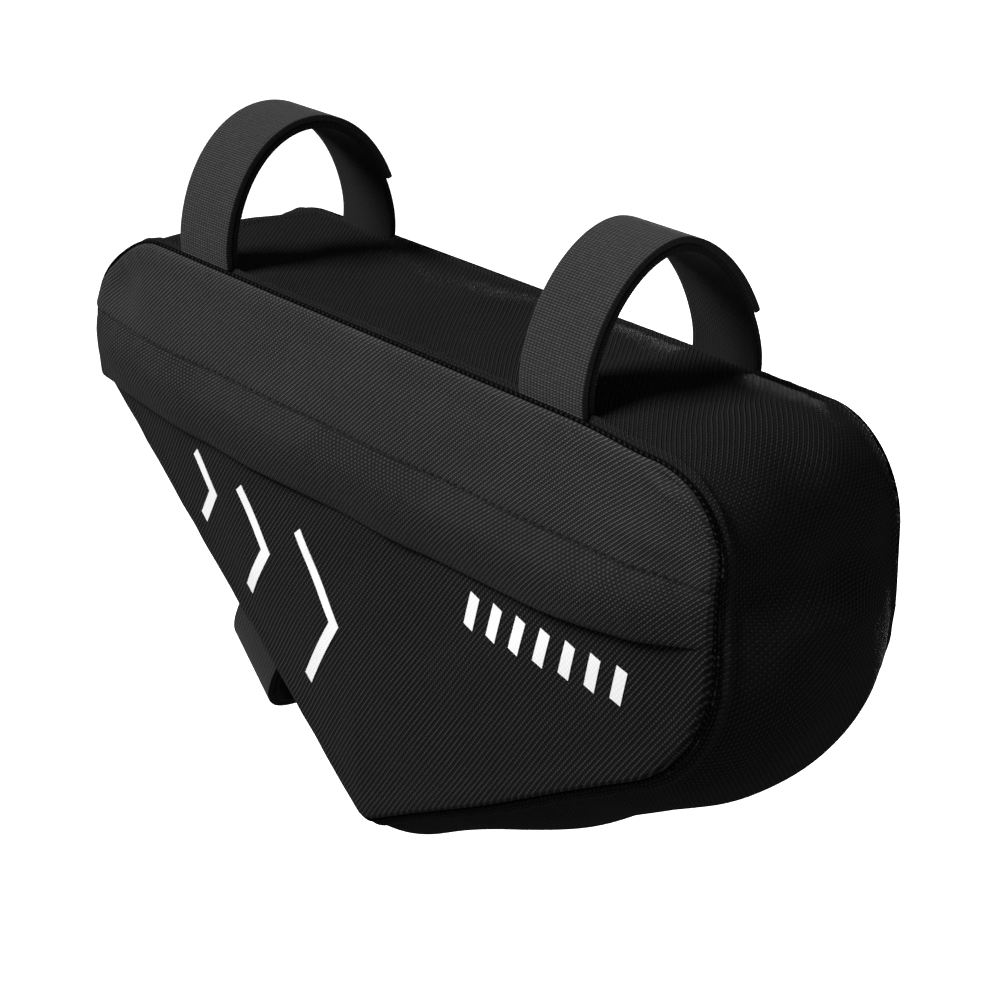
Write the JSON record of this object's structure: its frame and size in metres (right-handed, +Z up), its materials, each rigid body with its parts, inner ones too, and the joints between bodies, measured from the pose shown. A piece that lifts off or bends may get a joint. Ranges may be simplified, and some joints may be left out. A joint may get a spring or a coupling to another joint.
{
  "type": "bicycle frame bag",
  "caption": "Soft wedge-shaped cloth bag that hangs inside a bicycle's frame, with strap loops for the top and down tubes and a flap over its side zip.",
  "frame": {"origin": "on the axis of the top tube that the bag hangs from, midway between the two top straps", "axes": "+X along the top tube towards the rear of the bicycle, +Y away from the zip side, +Z up"},
  "size_m": [0.2735, 0.0715, 0.1785],
  "materials": {
    "bag_cloth": "black plain-woven polyester with fine ribs, dull with a faint sheen",
    "zip_tape": "black woven zip tape",
    "strap_webbing": "black nylon webbing with fine cross ribs"
  },
  "bodies": {
    "root": {"gusset": "bag_cloth", "side_panel_far": "bag_cloth", "side_panel_upper": "bag_cloth", "side_panel_lower": "bag_cloth", "zip_flap": "bag_cloth", "zip": "zip_tape", "front_strap_outer": "strap_webbing", "front_strap_inner": "strap_webbing", "rear_strap_outer": "strap_webbing", "rear_strap_inner": "strap_webbing", "down_tube_strap_outer": "strap_webbing", "down_tube_strap_inner": "strap_webbing"}
  },
  "joints": []
}
